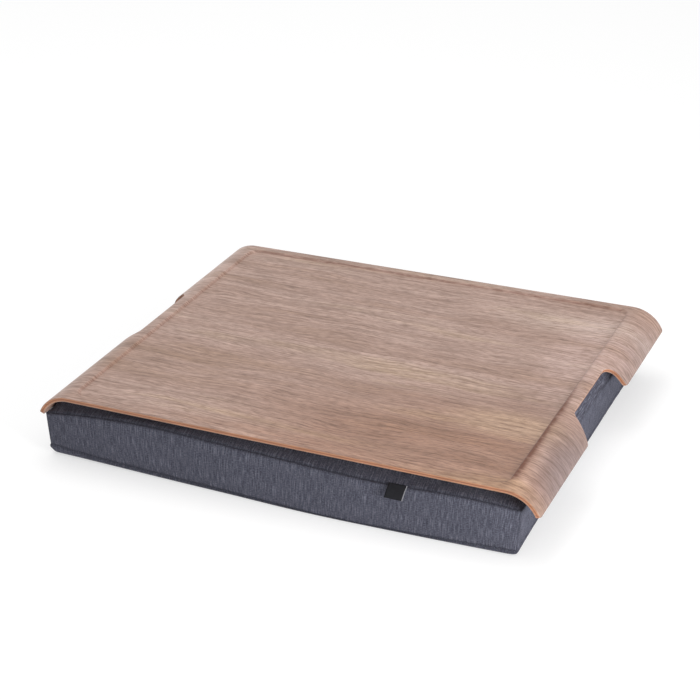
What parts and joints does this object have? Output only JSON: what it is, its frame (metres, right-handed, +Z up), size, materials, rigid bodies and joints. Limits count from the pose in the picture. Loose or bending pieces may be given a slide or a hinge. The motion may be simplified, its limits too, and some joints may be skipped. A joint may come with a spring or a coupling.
{
  "type": "cushioned lap desk",
  "caption": "Moulded plywood lap tray with a shallow pressed recess, turned-down lips and hand holds, on a bead-filled fabric cushion that peels off on hook-and-loop strips.",
  "frame": {"origin": "centre of the footprint, on the surface that the cushion lies on", "axes": "+X to the right across both lips, +Y from the front edge with the label to the rear edge with the zip, +Z up"},
  "size_m": [0.46, 0.362, 0.064],
  "materials": {
    "walnut_veneer": "satin lacquered walnut veneer, grain along the width",
    "crossband_wood": "bare cut edge, orange brown",
    "core_wood": "bare cut edge, pale brown",
    "hook_plastic": "field of small hooks",
    "loop_fabric": "fuzzy loops",
    "cover_fabric": "melange weave, dark and light grey threads",
    "label_fabric": "folded black ribbon, bare",
    "lining_fabric": "plain white lining",
    "beads": "loose white beads",
    "zip_tape_fabric": "woven tape",
    "zip_coil_plastic": "wound coil",
    "zip_metal": "dark coated zinc"
  },
  "bodies": {
    "cushion": {"loop_tape_1": "loop_fabric", "loop_tape_2": "loop_fabric", "loop_tape_3": "loop_fabric", "loop_tape_4": "loop_fabric", "top_panel": "cover_fabric", "front_panel": "cover_fabric", "rear_panel": "cover_fabric", "left_panel": "cover_fabric", "right_panel": "cover_fabric", "base_panel": "cover_fabric", "side_label": "label_fabric", "inner_bag_upper": "lining_fabric", "inner_bag_lower": "lining_fabric", "bead_fill": "beads", "zip_tape_upper": "zip_tape_fabric", "zip_tape_lower": "zip_tape_fabric", "zip_coil_upper": "zip_coil_plastic", "zip_coil_lower": "zip_coil_plastic", "zip_end_stops": "zip_metal"},
    "tray": {"face_veneer": "walnut_veneer", "upper_crossband": "crossband_wood", "core_ply": "core_wood", "lower_crossband": "crossband_wood", "back_veneer": "walnut_veneer", "hook_tape_1": "hook_plastic", "hook_tape_2": "hook_plastic", "hook_tape_3": "hook_plastic", "hook_tape_4": "hook_plastic"},
    "zip_slider": {"zip_slider": "zip_metal"},
    "zip_pull": {"zip_pull": "zip_metal"}
  },
  "joints": [
    {"name": "tray_lift", "type": "slide", "parent": "cushion", "child": "tray", "axis": [0, 0, 1], "range_m": [0, 0.12]},
    {"name": "zip_slide", "type": "slide", "parent": "cushion", "child": "zip_slider", "axis": [-1, 0, 0], "range_m": [0, 0.288]},
    {"name": "zip_pull_swing", "type": "hinge", "parent": "zip_slider", "child": "zip_pull", "pos_m": [0.14, 0.17968, 0.026], "axis": [0, -0.0116, -0.9999], "range_deg": [0, 175]}
  ]
}
